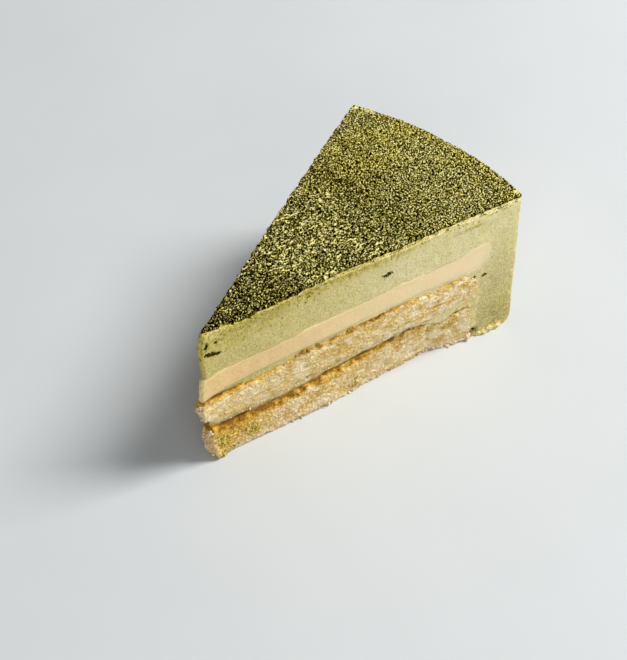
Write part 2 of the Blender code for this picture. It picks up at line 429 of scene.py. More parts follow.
def cream_colour(look):
    body = look.ramp(
        look.along("X", TIP_X, RIM_X), (0, (216, 173, 96)), (0.35, (228, 195, 135)), (0.9, (237, 213, 166))
    )
    body = look.mix(look.ranged(look.noise(4), 0.35, 0.7, 0, 0.35), body, (238, 204, 140))
    grain = look.noise(0.4, 3, 0.7, look.stretched((0.6, 0.6, 1)))
    return look.mix(look.ranged(grain, 0.3, 0.7, 0, 0.45), body, (244, 228, 190)), grain


def cream_material():
    look = Shader("cream_look", 0.5, Subsurface_Weight=0.25, Subsurface_Scale=3 * MM)
    body, grain = cream_colour(look)
    dots = look.ranged(look.cells(2.2), 0.10, 0.05)
    body = look.mix(look.math("MULTIPLY", dots, 0.25), body, (190, 150, 84))
    body = look.mix(look.math("MULTIPLY", look.mask("edge"), 0.6), body, (216, 200, 140))
    return look.finish(body, grain, 0.12)


def sponge_material():
    look = Shader("sponge_look", 0.95, Subsurface_Weight=0.06, Subsurface_Scale=MM)
    crumb = look.noise(0.9, 3, 1, look.stretched((0.8, 0.8, 1)))
    body = look.ramp(
        crumb, (0.34, (209, 173, 111)), (0.45, (223, 190, 126)),
        (0.54, (232, 202, 139)), (0.66, (241, 216, 160)),
    )
    tinted = look.ramp(crumb, (0.36, (150, 128, 48)), (0.5, (200, 182, 96)), (0.64, (234, 220, 142)))
    body = look.mix(look.mask("olive"), body, tinted)
    stain = look.ramp(crumb, (0.38, (142, 106, 26)), (0.5, (207, 164, 64)), (0.6, (242, 208, 110)))
    body = look.mix(look.mask("stain"), body, stain)
    body = look.mix(
        look.mask("pale"), body, look.ramp(crumb, (0.36, (227, 200, 153)), (0.56, (248, 231, 192)))
    )
    # Painted shade: the crumb darkens where its relief sinks into hollows.
    body = look.mix(look.ranged(look.mask("relief"), -0.1, -0.8, 0, 0.45), body, (164, 122, 56))
    baked = look.math(
        "MULTIPLY", look.mask("crust"), look.ranged(look.noise(1.6, 4, 0.6), 0.34, 0.66, 0.5, 1.5)
    )
    skin = look.ramp(
        baked, (0.2, (222, 181, 84)), (0.5, (203, 157, 54)), (0.75, (180, 134, 36)), (1, (142, 98, 16))
    )
    body = look.mix(look.ranged(baked, 0.05, 0.45), body, skin)
    # Dark scorched crust, and painted shade: in the torn hollows and in the gaps under the layers above.
    body = look.mix(look.mask("scorched"), body, (116, 74, 16))
    mossy = look.ramp(
        look.noise(0.7, 3, 0.6), (0.42, (80, 74, 6)), (0.5, (172, 154, 38)), (0.6, (226, 208, 100))
    )
    body = look.mix(look.mask("green"), body, mossy)
    specks = look.ranged(look.cells(1.2), 0.2, 0.1)
    body = look.mix(look.math("MULTIPLY", specks, 0.4), body, (122, 92, 34))
    return look.finish(body, crumb, 0.35)


def powder_material():
    look = Shader("powder_look", 1, Specular_IOR_Level=0)
    fine = look.noise(0.32, 2, 0.6)
    # The grain mask is also the grains' height: its ramps give the dusting's olive tone and paint shade into
    # the gaps between grains.
    grain = look.math("ADD", look.mask("grain"), look.ranged(fine, 0.34, 0.66, -0.52, 0.52))
    olive = look.ramp(
        grain, (0.12, (6, 3, 0)), (0.42, (38, 30, 0)), (0.58, (110, 100, 8)),
        (0.78, (192, 184, 88)), (1, (236, 229, 166)),
    )
    dark = look.ramp(
        grain, (0.2, (3, 2, 0)), (0.5, (32, 26, 0)), (0.7, (104, 94, 18)), (0.95, (200, 191, 116))
    )
    body = look.mix(look.mask("dark"), olive, dark)
    body = look.mix(look.mask("yellow"), body, look.mix(1, body, (255, 240, 110), "MULTIPLY"))
    veins = look.math("ADD", look.mask("bare"), look.ranged(fine, 0.3, 0.7, -0.25, 0.25))
    body = look.mix(look.ranged(veins, 0.4, 0.6), body, (230, 221, 142))
    return look.finish(body, fine, 0.12)


# The mousse

# The sizes of its rounded edges
RIM_CORNER = 1.0
CUT_EDGE = 0.35
SHOULDER = 0.6
FOOT = 4.6
# How far it lies behind the cut: where a layer hides it, in the two films, and in the hole at its foot
HIDDEN_DEPTH = 5
FILM_DEPTH = 0.3
CREAM_FILM_DEPTH = 0.15
HOLE_DEPTH = 2.6
SPONGES_END = 86.6  # just beyond the sponges
# Marks on the near face: how far along it and up, half length, half height and strength
SMEARS = (
    (2, 42, 2.5, 4, 0.35), (5, 46, 5, 1.2, 0.5), (12.3, 40, 0.8, 0.8, 1.2), (16.8, 40, 0.9, 0.7, 1.2),
    (20.5, 42.8, 2.4, 0.7, 0.9), (31, 45.6, 5, 1, 0.35), (44, 46, 5, 0.8, 0.4), (67, 46.2, 4, 0.7, 0.3),
    (84.5, 44.6, 4.5, 0.7, 1.3), (78, 44.2, 3, 0.5, 0.7), (87.5, 41.5, 1.6, 1.2, 0.5), (97, 10, 2, 8, 0.25),
)
# Pale marks, each told as above. The two tall ones along the rim's corner, at 97.5 and 98.9 along, are a
# painted highlight; the rest are pale mousse.
PALE_AND_HIGHLIGHT_MARKS = (
    (86.5, 39.5, 2.6, 1.6, 0.8), (90, 37, 2, 4, 0.4), (3, 46.2, 2.4, 1, 0.5), (97.5, 30, 1.2, 20, 0.3),
    (98.9, 26, 0.5, 22, 0.7), (90, 46.2, 9, 1.3, 0.55), (72, 46.4, 9, 0.8, 0.45),
)
# Dark smudges of dusting, each told as above. The one at the foot beside the sponges' end, at 86.9 along, is
# painted shade in the hole there.
SMUDGE_AND_SHADE_MARKS = (
    (1.8, 43.2, 0.8, 1.5, 0.85), (4.6, 43.4, 0.8, 1.4, 0.8), (1.8, 40.3, 0.9, 0.6, 1.2),
    (3.3, 39.5, 1, 0.6, 1.5), (4.8, 38.8, 1.1, 0.5, 1.3), (56.3, 40.6, 1.5, 0.6, 1.6),
    (88.8, 24.4, 0.8, 0.6, 1.4), (85.4, 25, 0.7, 0.6, 0.8), (86.9, 2.4, 1.2, 1.2, 0.8),
    (90.2, 0.9, 0.7, 0.5, 0.9), (94.2, 1, 0.6, 0.5, 0.8),
)


def mousse_place(radius, side, height):
    """Where the points of the outer block lie, before the cut's relief. Its edges are rounded."""
    from_rim, from_foot = rounded(CAKE_RADIUS - radius, height, FOOT)
    from_rim, from_top = rounded(from_rim, TOP - height, SHOULDER)
    width = np.maximum(radius, 4) * HALF_ANGLE
    from_rim, from_face = rounded(from_rim, (1 - np.abs(side)) * width, RIM_CORNER)
    from_face, from_top = rounded(from_face, from_top, CUT_EDGE)
    side = np.sign(side) * (1 - from_face / width)
    height = np.where(height < TOP / 2, from_foot, TOP - from_top)
    return CAKE_RADIUS - from_rim, side, height


def in_film(below, above, radius, height):
    """How deep points of the cut lie inside the film between two layers. It is below 0 outside it."""
    return np.minimum(height - curve(radius, below.high), curve(radius, above.low) - height)


def cut_depth(radius, height):
    """How deep the mousse lies behind the cut: behind the layers, in the films between them, at holes."""
    inside = [layer.inside(radius, height) for layer in (INSERT, UPPER_SPONGE, LOWER_SPONGE)]
    grooves = HIDDEN_DEPTH * ease((np.maximum.reduce(inside) - 0.5) / 0.3)
    behind_foot = HIDDEN_DEPTH * (height < 3) * ease((84.6 - radius) / 0.4)
    sponges = in_film(LOWER_SPONGE, UPPER_SPONGE, radius, height)
    film = ease((sponges + 0.9) / 0.5) * (1 - 0.7 * ease((radius - 68) / 6)) * (radius < 86)
    drawn = 0.45 * np.maximum(curve(radius, DRAWN_BACK), 0)
    cream_film = in_film(UPPER_SPONGE, INSERT, radius, height)
    shallow = CREAM_FILM_DEPTH * ease((cream_film + 0.9) / 0.5) * (1 - ease((radius - 80) / 8))
    hole = HOLE_DEPTH * bell(radius, SPONGES_END, 1.3) * bell(height, 1.7, 1.3)
    return np.maximum.reduce((grooves, behind_foot, film * (FILM_DEPTH + drawn), shallow, hole))


def mousse_relief(flat, face, radius, side, height):
    """How far the mousse stands out of the cut, without the cut's depth."""
    relief = 0.16 * ripple(flat, 14, 1) + 0.05 * ripple(flat, 3, 2, 2) + 0.03 * ripple(flat, 1, 3, 2)
    relief += 0.14 * bell(height, TOP, 1.2) * ripple(flat, 1.3, 4, 3)
    relief += 0.4 * between(radius, 6, 24, 8) * ease((height - 42) / 4)
    relief += 0.3 * (side > 0) * between(radius, 30, 86, 10) * ease((height - 42) / 5)
    relief += 0.05 * ripple(face, (0.5, 9, 2.2), 14, 2) * ease((height - 30) / 6)
    at_rim = between(radius, 87.5, 95, 1.2)
    relief += at_rim * (1 - ease(height / 3)) * (0.3 + 0.9 * np.abs(ripple(flat, 1.8, 5, 2)))
    ridged = ease((radius - 95) / 4) * between(height, 3, 26, 5)
    return relief + ridged * 0.12 * ripple(flat, (9, 9, 0.8), 6)


def mousse_smears(flat, face, radius, side, height):
    """Where the dusting was dragged over the mousse."""
    along = face[:, 0]
    drips = ripple(face, (0.55, 9, 1.5), 8, 3)
    top_band = bell(height, TOP, 1.2) * (0.65 + 0.9 * ripple(face, 1.5, 12, 3))
    top_band *= 1 - 0.5 * ease((along - 55) / 15)
    left = near_tip(along, 36) * ease((height - 35.5) / 7.5) * (0.6 + 1.25 * drips)
    left += 0.9 * near_tip(along + 1, 3)
    middle = between(along, 6, 62, 8) * bell(height, TOP - 1.4, 2.2) * (0.55 + 0.7 * drips)
    wall = ease((radius - 98.4) / 0.8) * (0.35 + 0.4 * ripple(flat, (4, 4, 0.7), 9, 2))
    foot = between(height, 0, 1.6, 1.4) * ease((along - 86) / 2) * 0.5
    seen = marks(face, SMEARS) * (0.8 + 0.5 * drips) * (side < 0)
    return top_band + left + middle + wall + foot + seen + 0.1 * ripple(flat, 6, 10, 2)


def make_mousse(material):
    """The mousse, with a groove for each layer that it surrounds."""
    tip_end = np.array((0, 0.15, 0.35, 0.6, 0.9))
    rim_end = CAKE_RADIUS - np.array((1.2, 0.9, 0.62, 0.38, 0.17, 0))
    radii = np.concatenate((tip_end, spaced(1.3, rim_end[0] - 0.4, MOUSSE_STEP), rim_end))
    top_end = TOP - np.array((1.2, 0.85, 0.55, 0.3, 0.12, 0))
    heights = np.concatenate((spaced(0, TOP - 1.6, MOUSSE_STEP), top_end))
    radius, side, height, quads = block(radii, closer_at_ends(41), heights)
    radius, side, height = mousse_place(radius, side, height)
    flat = np.stack((*plan(radius, side), height), 1)
    face = face_place(flat, NEAR_FACE)
    points = flat.copy()
    points[:, 0] -= curve(height, MOUSSE_NOSE) * near_tip(radius)

    deepest = 0.75 * np.abs(plan(radius, np.ones_like(radius))[1])
    depth = np.minimum(cut_depth(radius, height), deepest)
    push_out(points, side, mousse_relief(flat, face, radius, side, height) - depth)
    at_top = bell(height, TOP, 1)
    points[:, 2] += at_top * 0.14 * ripple(flat, 2, 7, 2)
    points[:, 2] -= curve(radius, SAG) * ease((height - TOP + 6) / 6)

    sponges = in_film(LOWER_SPONGE, UPPER_SPONGE, radius, height)
    film = ease((sponges + 1.2) / 0.8) * (1 - 0.6 * bell(radius, 75, 5)) * (1 - ease((radius - 84) / 3))
    beside_sponges = 0.6 * bell(radius, SPONGES_END, 0.9) * between(height, 4, 22, 4)
    film += beside_sponges * (0.8 + 0.6 * ripple(flat, 1.6, 16, 2))
    lumps = between(radius, 88, 98, 1) * (1 - ease(height / 2.6))
    blur = 0.8 + 0.6 * ease((radius - 84) / 4)
    cream = ease((INSERT.inside(radius, height) + blur + 0.2 * ripple(flat, 1.2, 13, 2)) / (1.5 * blur))
    smear = mousse_smears(flat, face, radius, side, height)
    mottled = 0.7 + 0.5 * ripple(flat, 1, 11, 2)
    # Pale lumps and marks, and a painted highlight along the rim's corner.
    pale = lumps * 0.7 * ease(ripple(flat, 1.6, 11) + 0.6) + marks(face, PALE_AND_HIGHLIGHT_MARKS) * mottled * (side < 0)
    ledge = ease((height - TOP + 0.5) / 0.4) * (side < 0)
    pale += ledge * ease(0.4 + ripple(flat, 1.4, 17, 2)) * (0.25 + 0.25 * ease((radius - 35) / 25))
    # Dark smudges, and painted shade in the hole at the foot.
    olive = ease(1.5 * marks(face, SMUDGE_AND_SHADE_MARKS) * (mottled + 0.2) - 0.25) * (side < 0)
    above_sponge = height - curve(radius, LOWER_SPONGE.high)
    # A dark line just above the lower sponge: partly its scorched top, partly painted shade in the gap
    # there.
    seam = bell(above_sponge, 0.2, 0.55) * between(radius, 4, 64, 6) * (0.85 + 0.7 * ripple(flat, 3, 15, 2))
    mesh_piece(
        "mousse_body", points, quads, material, "mousse", "matcha_mousse",
        smear=smear, film=film, seam=seam, cream=cream, pale=pale, olive=olive,
    )


# The layers inside

# Marks on the near face of the sponges, each told as in SMEARS
# Green stains on the lower sponge. The long low mark near the tip, at 4.6 along, is painted shade under the
# crumb there.
GREEN_AND_SHADE_MARKS = (
    (3.5, 6, 1.6, 3.2, 0.8), (4.6, 0.8, 3.2, 1.2, 1.1), (12.2, 4.8, 1.7, 1.8, 1.6), (9, 7, 3, 1.5, 0.5),
    (46, 3.2, 1, 1.9, 1.6), (20.5, 5.6, 0.7, 0.8, 0.9),
)
PALE_CRUMB = (
    (8, 0.9, 3, 0.8, 0.8), (16, 1.2, 5, 1, 0.8), (26, 1.5, 6, 1.2, 0.7), (29, 17.5, 2.4, 3.2, 0.9),
    (12, 18, 6, 1.6, 0.5), (20, 20, 4, 1.6, 0.5), (84.5, 17.5, 3, 1.5, 0.9), (74, 23.5, 5, 1.6, 0.6),
    (80, 21.5, 4, 1.2, 0.5), (62, 16.5, 9, 0.9, 0.7), (80, 1.2, 5, 1.5, 0.9), (83.5, 9, 1.6, 4, 0.6),
    (76, 17.4, 6, 1, 0.6), (26, 7.5, 3, 2.4, 0.6), (36, 2.5, 5, 2, 0.5), (55, 6, 4, 2.5, 0.8),
    (66, 5, 3, 2.5, 0.8),
)
GOLDEN_CRUMB = (
    (8, 22.2, 7, 0.9, 0.5), (43, 21, 8, 2.4, 0.4), (57, 24.4, 6, 1.6, 0.6), (70, 25, 4, 1, 0.4),
    (83.8, 23.2, 2.2, 1.6, 0.7), (83, 14.5, 3, 2.2, 0.6), (74.5, 18.4, 3, 1, 0.4),
    (21, 4.4, 3.4, 1.6, 0.5), (33, 8, 2, 1.4, 0.4), (61, 9, 2, 3, 0.4), (71, 9.4, 1.2, 3.6, 0.9),
    (79, 9, 2.6, 3, 0.8),
)
# How deep the crumb is torn at places of the near face. The tears are also painted darker, as shade in them.
TEARS = (
    (71.4, 8.5, 0.45, 3.5, 0.7), (57, 4.5, 0.7, 1.3, 0.6), (79.5, 8, 0.6, 2, 0.5), (64, 8.6, 0.6, 1.8, 0.5),
    (66, 3.4, 1.4, 0.5, 0.5), (73, 20, 3, 0.4, 0.7), (34, 18.6, 3, 0.4, 0.4), (17, 16.4, 2.6, 0.4, 0.4),
)
# How brown the top of the upper sponge is at radii
BROWNED = (
    (0, 1), (12, 0.9), (16, 0.35), (25, 0.35), (29, 0.9), (36, 0.7),
    (45, 0.4), (50, 1), (58, 1), (63, 0.2), (86, 0.1),
)
# The dark fold in the top of the lower sponge
FOLD = (70, 13.3, 1.3, 0.5, 0.9), (72.4, 12.9, 1.4, 0.5, 1), (75, 12, 1.4, 0.5, 1)


def layer_block(layer, step, shares, sides):
    """The stations, plain places and quads of a layer's block."""
    length = max(end for _, end in layer.end)
    tip_end = layer.tip_half_width * np.array((0, 0.12, 0.28, 0.5, 0.75))
    radii = np.concatenate((tip_end, spaced(layer.tip_half_width, length, step))) / length
    along, side, share, quads = block(radii, closer_at_ends(sides), np.linspace(0, 1, shares))
    radius = along * curve(share, layer.end)
    low = curve(radius, layer.low)
    height = low + share * (curve(radius, layer.high) - low)
    flat = np.stack((*plan(radius, side, layer.tip_half_width), height), 1)
    flat[:, 0] -= curve(height, layer.nose) * near_tip(radius)
    return radius, side, share, height, flat, quads


def make_insert(material):
    """The disc of set cream."""
    radius, side, share, _, flat, quads = layer_block(INSERT, INSERT_STEP, 25, 13)
    points = flat.copy()
    points[:, 2] += 0.12 * ripple(flat, 8, 12, 2) + 0.05 * ripple(flat, 2, 13)
    from_end = curve(share, INSERT.end) - radius
    edge = np.maximum(np.abs(2 * share - 1) ** 5, 1.2 * (1 - ease(from_end / 3)))
    edge += 1.4 * near_tip(radius, 1.2) * (0.8 + 0.8 * ripple(flat, 1, 16, 2))
    rounding = np.maximum(np.abs(2 * share - 1) ** 12, 0.5 - 0.5 * ease(from_end / 1.2))
    relief = 0.07 + 0.07 * ripple(flat, 9, 14, 2) + 0.02 * ripple(flat, 1.5, 15) - 0.25 * rounding
    push_out(points, side, relief)
    points[:, 0] += 0.25 * ripple(flat, 1.2, 17, 3) * near_tip(radius, 1.5)
    mesh_piece("cream_layer", points, quads, material, "cream", "cream_insert", edge=edge)


def crumb_relief(flat, coarseness, seed):
    """The relief of torn crumb."""
    swell = 0.09 * ripple(flat, 3.5, seed, 2)
    grain = coarseness * ripple(flat, (0.55, 0.55, 0.42), seed + 1, 3)
    flakes = 0.09 * ripple(flat, (2, 2, 0.5), seed + 2, 2)
    open_crumb = ease(ripple(flat, 4, seed + 3) + 0.2)
    holes = ease((0.34 - cells(flat, (1.5, 1.5, 1), seed + 4)) / 0.2) * open_crumb
    return swell + grain + flakes - 0.35 * holes


def crumb_tints(flat, radius, seed):
    """Where crumb is paler, where golden and where olive."""
    warmth = ripple(flat, (3.4, 3.4, 2), seed, 2)
    right = ease((radius - 55) / 15)
    pale = (0.65 + 0.35 * right) * ease(1.5 * warmth + 0.15 * right)
    stain = (0.3 + 0.25 * right) * ease(-1.3 * warmth)
    olive = 0.4 * ease(1.4 * ripple(flat, (2.6, 2.6, 1.6), seed + 1, 2) - 0.1)
    return pale, stain, olive


def roughen_sponge(layer, flat, radius, side, share, seed, drawn_back):
    """A sponge's points, with its crumb, its worn edges and its ragged outline, and its relief."""
    relief = crumb_relief(flat, layer.coarseness, seed)
    wear = 0.6 * (1 - share) ** 7 + 0.5 * share**12
    wear *= 1 + 0.6 * ripple(flat, 1.6, seed + 5)
    out = 0.45 + relief - wear - drawn_back
    points = flat.copy()
    push_out(points, side, out)
    points[:, 0] -= (1.3 * relief - 0.6 * wear) * near_tip(radius, layer.tip_half_width)
    outline = 0.22 * ripple(flat, 1.3, seed + 6, 2) + 0.30 * ripple(flat, 5, seed + 7)
    points[:, 2] += outline * (share**4 - (1 - share) ** 4)
    return points, relief


def crust_mask(layer, flat, radius, height, thickness, seed):
    """About 1 at a sponge's top, falling to 0 through its baked skin, and the depth below the top."""
    below_top = curve(radius, layer.high) - height
    thick = thickness * (1 + 0.6 * ripple(flat, 5, seed))
    baked = np.clip(1 - below_top / np.maximum(thick, 0.3), 0, 1)
    return baked * (0.8 + 0.7 * ripple(flat, 2.6, seed + 1, 2)), below_top


def make_upper_sponge(material):
    radius, side, share, height, flat, quads = layer_block(UPPER_SPONGE, SPONGE_STEP, 52, 15)
    face = face_place(flat, NEAR_FACE)
    on_near = side < 0
    tears = marks(face, TEARS) * on_near
    points, relief = roughen_sponge(UPPER_SPONGE, flat, radius, side, share, 31, tears)
    thickness = 0.4 + 0.6 * bell(radius, 36, 9) + 1.6 * bell(radius, 55, 6) + 0.8 * bell(radius, 6, 7)
    crust, below_top = crust_mask(UPPER_SPONGE, flat, radius, height, thickness, 41)
    crust *= curve(radius, BROWNED)
    # The dark lines along the top are partly scorched crust, partly painted shade under the cream layer; the
    # tears get painted shade in their hollows.
    scorched = ease((0.4 - below_top) / 0.3) * (bell(radius, 4, 5) + 0.8 * bell(radius, 56, 6)) * 0.7
    scorched += 0.25 * ease((0.25 - below_top) / 0.3) * between(radius, 62, 80, 6)
    scorched += 0.4 * ease((1 - below_top) / 0.6) * bell(radius, 53, 4.5)
    scorched += 0.5 * bell(height, 21.5, 1.3) * near_tip(radius, 1.5) + 0.3 * ease(tears)
    pale, stain, olive = crumb_tints(flat, radius, 43)
    pale += marks(face, PALE_CRUMB) * on_near + 0.9 * bell(height, 17, 3) * near_tip(radius, 4)
    stain += marks(face, GOLDEN_CRUMB) * on_near
    baked = np.exp(-np.maximum(below_top, 0) / 1.3) * (1 - 0.6 * ease((radius - 58) / 6))
    stain += 0.7 * baked
    pale *= 1 - 0.8 * baked
    olive += 0.8 * (1 - ease(share / 0.22)) * between(radius, 5, 50, 6)
    green = 0.5 * ease(3 * ripple(flat, 1.6, 44) - 1.9)
    mesh_piece(
        "sponge_upper", points, quads, material, "sponge", "upper_sponge",
        relief=relief, crust=crust, scorched=scorched, stain=np.clip(stain, 0, 0.9),
        pale=np.clip(pale, 0, 0.9), olive=np.clip(olive, 0, 0.8), green=green,
    )


def make_lower_sponge(material):
    radius, side, share, height, flat, quads = layer_block(LOWER_SPONGE, SPONGE_STEP, 56, 17)
    face = face_place(flat, NEAR_FACE)
    on_near = side < 0
    drawn_back = curve(radius, DRAWN_BACK) * (1.2 - 0.5 * share) + marks(face, TEARS) * on_near
    flare = 1.3 * near_tip(radius, 6) * (1 - ease(height / 5)) * on_near
    points, relief = roughen_sponge(LOWER_SPONGE, flat, radius, side, share, 51, drawn_back - flare)
    points[:, 2] = np.maximum(points[:, 2], 0)
    thickness = 1.5 + 1.1 * (1 - ease((radius - 50) / 14))
    crust, below_top = crust_mask(LOWER_SPONGE, flat, radius, height, thickness, 61)
    # The line along the top is partly scorched crust, partly painted shade in the gap above it; the tears
    # get painted shade in their hollows.
    scorched = 0.35 * ease((0.3 - below_top) / 0.3) * between(radius, 6, 26, 4)
    scorched += ease(1.6 * marks(face, FOLD)) * on_near + 0.35 * ease(marks(face, TEARS)) * on_near
    pale, stain, olive = crumb_tints(flat, radius, 63)
    golden = near_tip(radius, 24) * (0.9 + 0.15 * share) * ease((radius - 1.2) / 1.2)
    pale = pale * (1 - golden) * (1 - 0.6 * near_tip(radius, 3)) + marks(face, PALE_CRUMB) * on_near
    stain += golden + marks(face, GOLDEN_CRUMB) * on_near + 0.7 * np.exp(-np.maximum(below_top, 0) / 2.2)
    # Green stains, with painted shade at the foot near the tip.
    green = ease(marks(face, GREEN_AND_SHADE_MARKS) * (1 + 1.2 * ripple(flat, 0.8, 64, 2))) * on_near
    mesh_piece(
        "sponge_lower", points, quads, material, "sponge", "lower_sponge",
        # The relief mask paints shade in the crumb's hollows, more of it towards the tip.
        relief=relief * (1 + 0.8 * near_tip(radius, 40)), crust=crust, scorched=scorched,
        stain=np.clip(stain, 0, 0.95), pale=np.clip(pale, 0, 0.9),
        olive=np.clip(olive, 0, 0.8), green=green * 0.9,
    )


# The dusting

POWDER_STEP = 0.18
# Where the dusting starts at the tip and ends at the rim
POWDER_START = 0.8
POWDER_RIM = 100.2
# How far behind the cut faces the dusting ends at radii
POWDER_INSET = {
    NEAR_FACE: (
        (0, 0.3), (4.5, 0), (6.6, 0.6), (9, -0.15), (13, -0.2), (17, -0.1),
        (24, 0.05), (33, 0.3), (45, 1.1), (60, 0.85), (80, 1.1), (97, 1.05),
    ),
    FAR_FACE: ((0, -0.1), (20, -0.25), (50, -0.45), (80, -0.35), (92, 0), (100, 0.2)),
}
# Its thickness along its border, and how far its side runs down into the mousse
POWDER_EDGE = 0.75
POWDER_SUNK = 0.4
GRAIN_SIZES = 0.74, 0.5  # how far apart its coarse and fine grains lie


def powder_borders(points):
    """For each border of the dusting, how far points lie outside it and the way back inside."""
    from_tip = points[:, :2] - (TIP_X, 0)
    radius = np.hypot(*from_tip.T)
    borders = []
    for side, inset in POWDER_INSET.items():
        outward = np.array((-math.sin(HALF_ANGLE), side * math.cos(HALF_ANGLE)))
        waver = 0.30 * ripple(points, 1.6, 71 + side, 3) * ease(radius / 4)
        outside = from_tip @ outward + curve(radius, inset) + waver
        borders.append((outside, -outward * np.ones_like(from_tip)))
    inward = -from_tip / np.maximum(radius, 1)[:, None]
    borders.append((radius - POWDER_RIM + 0.2 * ripple(points, 2, 74, 2), inward))
    before = POWDER_START + 0.8 * np.abs(from_tip[:, 1]) - from_tip[:, 0]
    borders.append((before, np.array((1, 0)) * np.ones_like(from_tip)))
    return borders


def powder_grid():
    """A fine level grid that fills the dusted outline: its points and quads."""
    xs = np.arange(TIP_X, RIM_X, POWDER_STEP)
    half = CAKE_RADIUS * math.sin(HALF_ANGLE)
    ys = np.arange(-half, half, POWDER_STEP)
    level = np.full((len(xs), len(ys)), TOP)
    grid = np.stack((*np.meshgrid(xs, ys, indexing="ij"), level), -1).reshape(-1, 3)
    inside = np.all([distance < 0 for distance, _ in powder_borders(grid)], axis=0).reshape(level.shape)
    number = np.arange(len(grid)).reshape(level.shape)
    corners = slice(None, -1), slice(1, None)
    around = [(corners[i], corners[j]) for i, j in ((0, 0), (1, 0), (1, 1), (0, 1))]
    whole = np.all([inside[at] for at in around], axis=0)
    quads = np.stack([number[at] for at in around], -1)[whole]
    used, quads = np.unique(quads, return_inverse=True)
    return grid[used], quads.reshape(-1, 4)


def powder_masks(points):
    """The dusting's thickness and its colour masks."""
    radius = np.hypot(points[:, 0] - TIP_X, points[:, 1])
    near = face_place(points, NEAR_FACE)
    coarse, fine = (ease((0.66 - grains(points, size, 76)) / 0.5) for size in GRAIN_SIZES)
    # One grain sets both the height and the colour, so the colour also paints shade into the gaps between
    # grains.
    grain = (
        0.38 * coarse + 0.46 * fine + 0.30 * ripple(points, 0.33, 75)
        + 0.06 * ripple(points, 0.75, 80) + 0.06
    )
    clump = ripple(points, 1.3, 77)
    drift = ripple(points, 9, 78, 2)
    streak = ripple(near, (1.1, 0.45, 1), 79, 2)
    specked = between(radius, 38, 57, 14) * (0.9 + 0.4 * drift)
    streaked = 0.75 * between(radius, 11, 34, 6) * (1 - bell(near[:, 1], 0.5, 2.6))
    bare = specked * (1.1 * streak + 0.45 * clump - 0.09) + streaked * (1.2 * streak - 0.2)
    bare += ease((radius - 95.5) / 4) * (0.1 + 0.5 * grain + 0.2 * clump)
    corner = ease((radius - 90) / 10) * ease((np.abs(points[:, 1]) - 25) / 6)
    bare += corner * (0.5 * grain + 0.3 * clump)
    yellow = 0.4 * bell(points[:, 0] - TIP_X, 73, 13) * bell(points[:, 1], 13, 9)
    yellow += 0.25 * ease(drift + 0.2) + 0.4 * ease((radius - 94) / 5)
    return {
        "thickness": 0.70 + 0.55 * grain + 0.04 * clump + 0.05 * drift,
        "grain": 1.2 * grain - 0.28 + 0.04 * clump + 0.03 * drift + 0.12 * ease((radius - 62) / 20),
        "bare": bare,
        "dark": np.clip(1.15 - radius / 42 + 0.3 * drift, 0, 1),
        "yellow": np.clip(yellow, 0, 1),
    }


def make_powder(material):
    """The dusting: a fine grid of grains that is drawn to the dusted outline and closed below."""
    points, quads = powder_grid()
    masks = powder_masks(points)
    radius = np.hypot(points[:, 0] - TIP_X, points[:, 1])
    level = TOP - curve(radius, SAG) + 0.25 * ease((radius - 70) / 20)
    points[:, 2] = level + np.maximum(masks.pop("thickness"), 0.2)
    mesh = bmesh.new()
    for point in points.tolist():
        mesh.verts.new(point)
    mesh.verts.ensure_lookup_table()
    for quad in quads.tolist():
        mesh.faces.new([mesh.verts[i] for i in quad])
    mesh.verts.index_update()
    border_edges = [edge for edge in mesh.edges if edge.is_boundary]
    border = sorted({vert.index for edge in border_edges for vert in edge.verts})
    drawn = points[border]
    for distance, inward in powder_borders(drawn):
        close = np.abs(distance) < 1.6 * POWDER_STEP
        drawn[close, :2] += inward[close] * distance[close, None]
    drawn[:, 2] = level[border] + POWDER_EDGE
    for i, place in zip(border, drawn.tolist()):
        mesh.verts[i].co = place
    skirt = bmesh.ops.extrude_edge_only(mesh, edges=border_edges)["geom"]
    for vert in (part for part in skirt if isinstance(part, bmesh.types.BMVert)):
        vert.co.z -= POWDER_EDGE + POWDER_SUNK
    bmesh.ops.holes_fill(mesh, edges=[edge for edge in mesh.edges if edge.is_boundary])
    bmesh.ops.recalc_face_normals(mesh, faces=mesh.faces)
    places, faces = points_and_faces(mesh)
    added = len(places) - len(points)
    masks = {
        name: np.pad(values, (0, added), constant_values=np.median(values))
        for name, values in masks.items()
    }
    mesh_piece("powder_layer", places, faces, material, "dusting", "matcha_dusting", **masks)


# Marks, crumbs and lumps

# Where crumbs lie: from and to along the cut, how many on each face, the line they follow, their least
# and most height over it, and their usual half size
PALE_LINES = (
    (1, 85, 130, LOWER_SPONGE.low, 0, 0.9, 0.3),
    (74, 85.5, 80, LOWER_SPONGE.low, 0, 2, 0.42),
    (2, 86, 90, UPPER_SPONGE.low, 0.2, 0.9, 0.17),
    (50, 86.5, 60, UPPER_SPONGE.low, -0.3, 0.9, 0.25),
)
BROWN_LINES = (
    (27, 36, 12, UPPER_SPONGE.high, -0.4, 0.7, 0.4),
    (40, 46, 8, UPPER_SPONGE.high, -0.4, 0.6, 0.38),
    (2, 14, 8, UPPER_SPONGE.high, -0.6, 0, 0.22),
    (14, 48, 8, UPPER_SPONGE.high, -0.6, 0, 0.16),
    (48, 58, 8, UPPER_SPONGE.high, -0.6, 0, 0.22),
    (2, 84, 30, LOWER_SPONGE.high, -0.7, 0.1, 0.2),
)
SPECKS_PER_MARK = 12  # for strength 1 and half sizes of 1
SPECKS_BELOW_TOP = 150
SPECKS_ON_LEDGE = 320
THICKLY_STREWN = 36  # how far from the tip the mousse is thickly strewn


